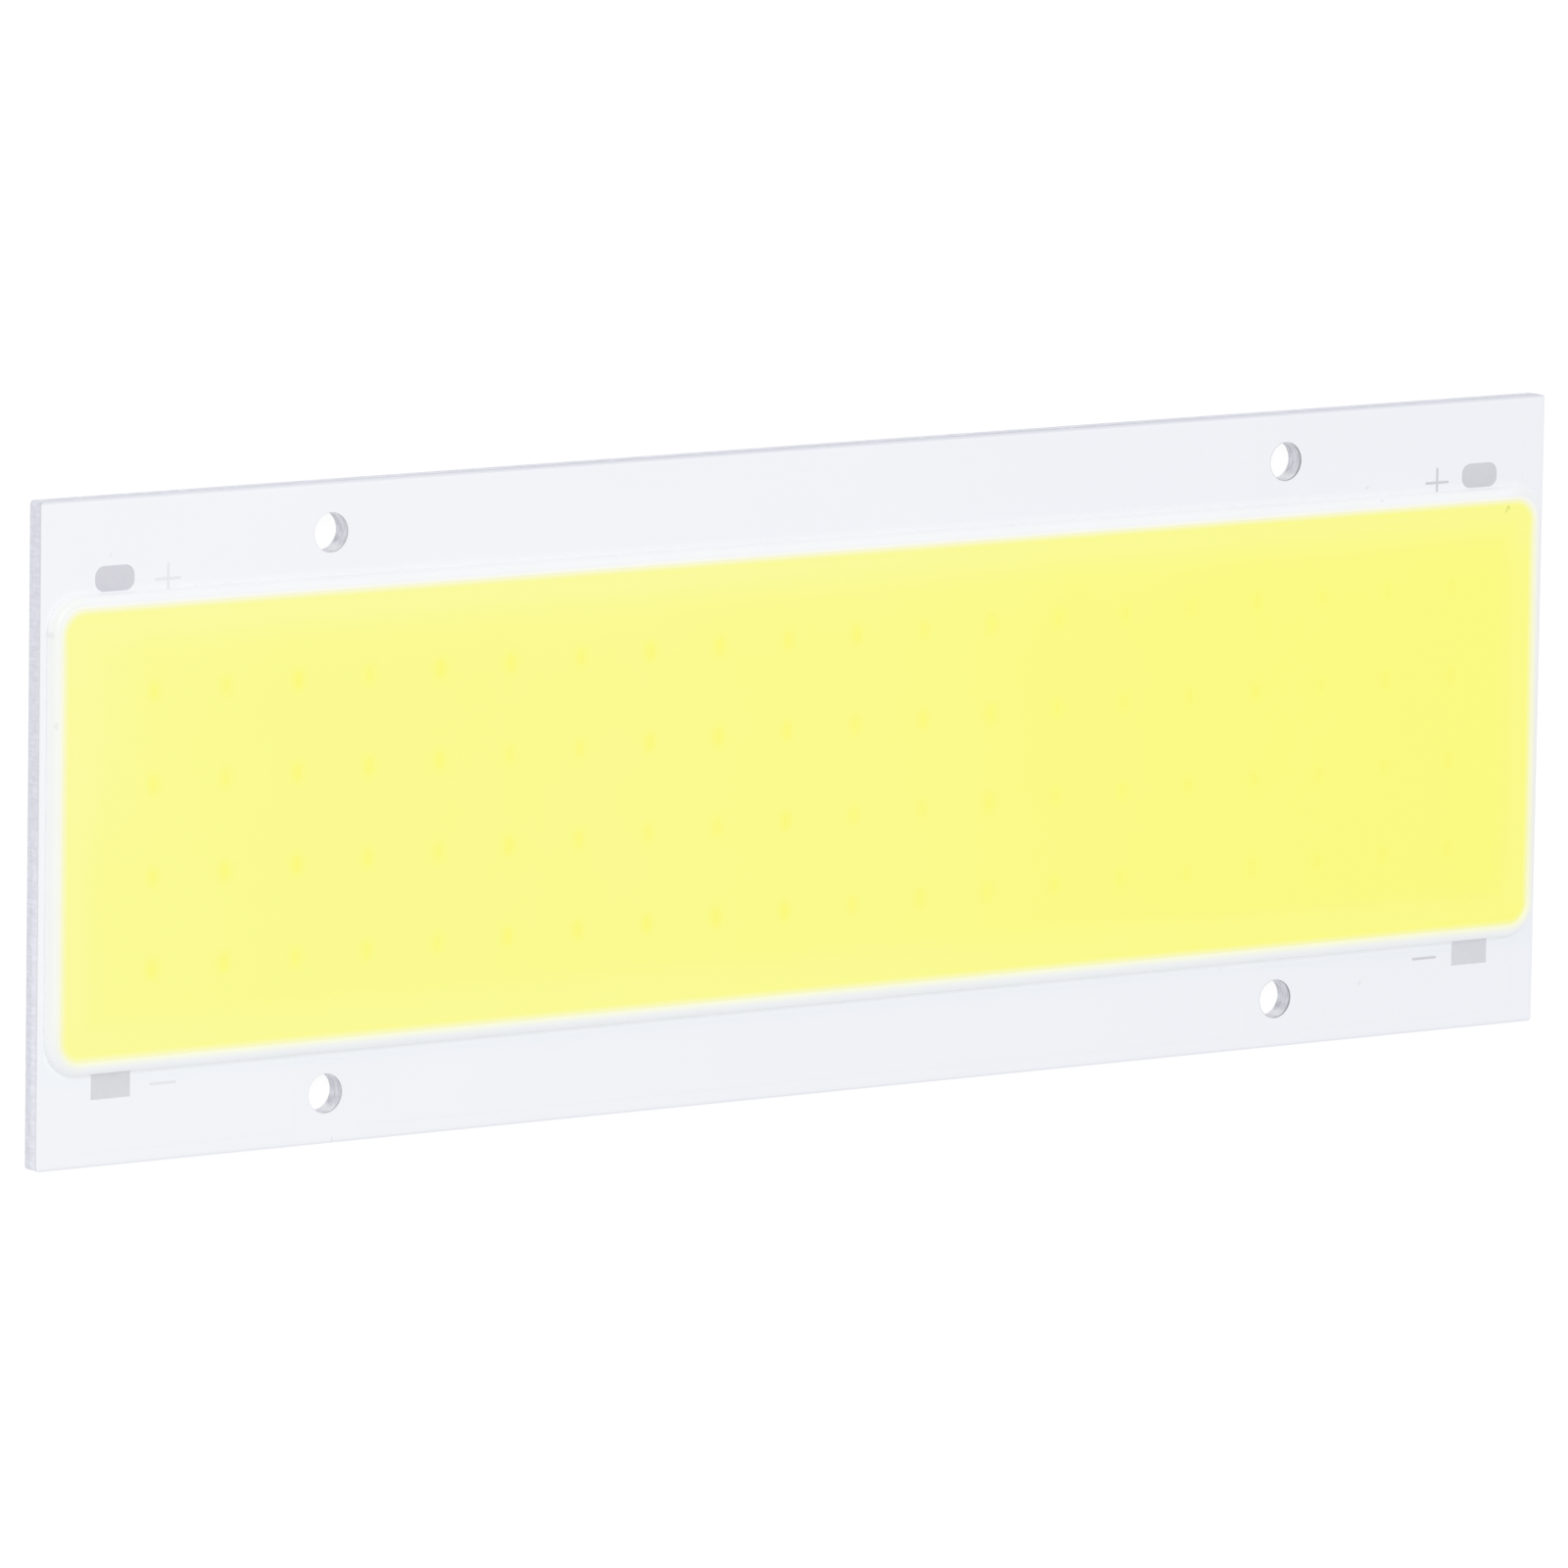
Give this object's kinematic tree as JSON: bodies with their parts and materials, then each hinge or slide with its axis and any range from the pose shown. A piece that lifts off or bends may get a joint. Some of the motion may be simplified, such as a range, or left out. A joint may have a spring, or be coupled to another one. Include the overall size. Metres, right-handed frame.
{
  "type": "cob led panel",
  "caption": "Flat rectangular chip-on-board LED panel: a white-masked aluminium board with screw holes, corner solder pads and a wide yellow phosphor field inside a white silicone dam.",
  "frame": {"origin": "centre of the underside of the aluminium plate", "axes": "+X along the board, +Y towards its positive pads, +Z out of the lit face"},
  "size_m": [0.14, 0.05, 0.0026],
  "materials": {
    "bare_aluminium": "mill finish with a fine rolled grain",
    "insulating_resin": "pale filled resin",
    "copper_foil": "bright foil",
    "white_mask": "satin white ink",
    "tinned_copper": "dull tin",
    "chip_solder": "dull tin",
    "chip_sapphire": "polished",
    "white_silicone": "smooth, slightly glossy",
    "phosphor_silicone": "satin, yellow body"
  },
  "bodies": {
    "root": {"base_plate": "bare_aluminium", "dielectric": "insulating_resin", "positive_rail": "copper_foil", "link_track_1": "copper_foil", "link_track_2": "copper_foil", "link_track_3": "copper_foil", "negative_rail": "copper_foil", "solder_mask": "white_mask", "positive_pad_left": "tinned_copper", "positive_pad_right": "tinned_copper", "negative_pad_left": "tinned_copper", "negative_pad_right": "tinned_copper", "chip_joints_row_1": "chip_solder", "chip_joints_row_2": "chip_solder", "chip_joints_row_3": "chip_solder", "chip_joints_row_4": "chip_solder", "led_string_01": "chip_sapphire", "led_string_02": "chip_sapphire", "led_string_03": "chip_sapphire", "led_string_04": "chip_sapphire", "led_string_05": "chip_sapphire", "led_string_06": "chip_sapphire", "led_string_07": "chip_sapphire", "led_string_08": "chip_sapphire", "led_string_09": "chip_sapphire", "led_string_10": "chip_sapphire", "led_string_11": "chip_sapphire", "led_string_12": "chip_sapphire", "led_string_13": "chip_sapphire", "led_string_14": "chip_sapphire", "led_string_15": "chip_sapphire", "led_string_16": "chip_sapphire", "led_string_17": "chip_sapphire", "led_string_18": "chip_sapphire", "led_string_19": "chip_sapphire", "led_string_20": "chip_sapphire", "dam": "white_silicone", "phosphor_fill": "phosphor_silicone"}
  },
  "joints": []
}
